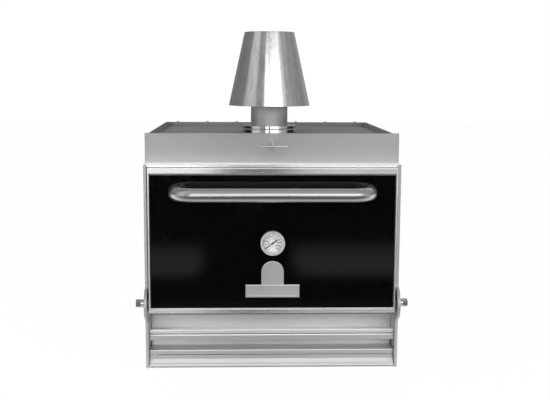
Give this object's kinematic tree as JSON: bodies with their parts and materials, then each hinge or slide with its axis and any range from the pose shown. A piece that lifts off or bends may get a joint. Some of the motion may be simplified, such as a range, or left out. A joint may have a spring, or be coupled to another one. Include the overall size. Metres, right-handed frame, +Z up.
{
  "type": "charcoal oven",
  "caption": "Counter-top charcoal oven of brushed steel with a black drop-down door on side pivots, a bent tube handle, an ash drawer, a draught drawer, a flue damper and a conical flue hat.",
  "frame": {"origin": "middle of the whole oven's box, on the counter that it stands on", "axes": "+Z up, the door faces -Y, +X to the right of someone facing the door"},
  "size_m": [0.858, 0.9682, 1.074],
  "materials": {
    "brushed_steel": "satin",
    "galvanised_sheet": "satin",
    "polished_steel": "polished",
    "black_enamel": "gloss",
    "liner_steel": "matte",
    "cast_iron": "matte",
    "fibre_board": "matte",
    "fibre_rope": "matte",
    "dial_white": "matte",
    "pointer_black": "matte",
    "lens_glass": "gloss",
    "bronze": "satin"
  },
  "bodies": {
    "oven": {"cheek_left": "brushed_steel", "cheek_right": "brushed_steel", "side_panel_left": "brushed_steel", "side_panel_right": "brushed_steel", "back_panel": "brushed_steel", "top_rail": "brushed_steel", "ember_shelf": "brushed_steel", "hood_fascia": "brushed_steel", "hood_wrap": "brushed_steel", "roof_tray": "brushed_steel", "flue_pipe": "brushed_steel", "base_pan": "galvanised_sheet", "drawer_runners": "galvanised_sheet", "damper_housing": "galvanised_sheet", "flue_throat": "galvanised_sheet", "flue_collar": "polished_steel", "hat_cone": "polished_steel", "hat_brackets": "polished_steel", "spark_baffle": "polished_steel", "rod_bush": "polished_steel", "pivot_bolts": "polished_steel", "pivot_washers": "polished_steel", "liner_left": "liner_steel", "liner_right": "liner_steel", "liner_back": "liner_steel", "liner_top": "liner_steel", "liner_floor": "liner_steel", "liner_front": "liner_steel", "face_frame": "liner_steel", "rack_rails_left": "liner_steel", "rack_rails_right": "liner_steel", "grate_ledges": "liner_steel", "grill_rack_lower": "liner_steel", "grill_rack_upper": "liner_steel", "charcoal_grate": "cast_iron", "insulation_left": "fibre_board", "insulation_right": "fibre_board", "insulation_back": "fibre_board", "insulation_top": "fibre_board", "door_gasket": "fibre_rope"},
    "door": {"door_frame": "brushed_steel", "door_panel": "black_enamel", "door_liner": "liner_steel", "door_insulation": "fibre_board", "door_handle": "polished_steel", "handle_rosettes": "black_enamel", "pivot_bushes": "bronze", "thermometer_case": "polished_steel", "thermometer_dial": "dial_white", "thermometer_lens": "lens_glass", "nameplate": "polished_steel", "badge": "polished_steel"},
    "pointer": {"thermometer_pointer": "pointer_black"},
    "damper": {"damper_gate": "galvanised_sheet", "damper_pull": "polished_steel"},
    "ash_drawer": {"ash_drawer_front": "brushed_steel", "ash_drawer_tray": "galvanised_sheet"},
    "air_drawer": {"air_drawer_front": "brushed_steel", "air_drawer_tray": "galvanised_sheet"}
  },
  "joints": [
    {"name": "door_hinge", "type": "hinge", "parent": "oven", "child": "door", "pos_m": [0, -0.3619, 0.21], "axis": [1, 0, 0], "range_deg": [0, 90]},
    {"name": "pointer_turn", "type": "hinge", "parent": "door", "child": "pointer", "pos_m": [0, -0.3849, 0.407], "axis": [0, 1, 0], "range_deg": [0, 270]},
    {"name": "damper_slide", "type": "slide", "parent": "oven", "child": "damper", "axis": [0, -1, 0], "range_m": [-0.085, 0.043]},
    {"name": "ash_drawer_slide", "type": "slide", "parent": "oven", "child": "ash_drawer", "axis": [0, -1, 0], "range_m": [0, 0.3]},
    {"name": "air_drawer_slide", "type": "slide", "parent": "oven", "child": "air_drawer", "axis": [0, -1, 0], "range_m": [0, 0.1]}
  ]
}
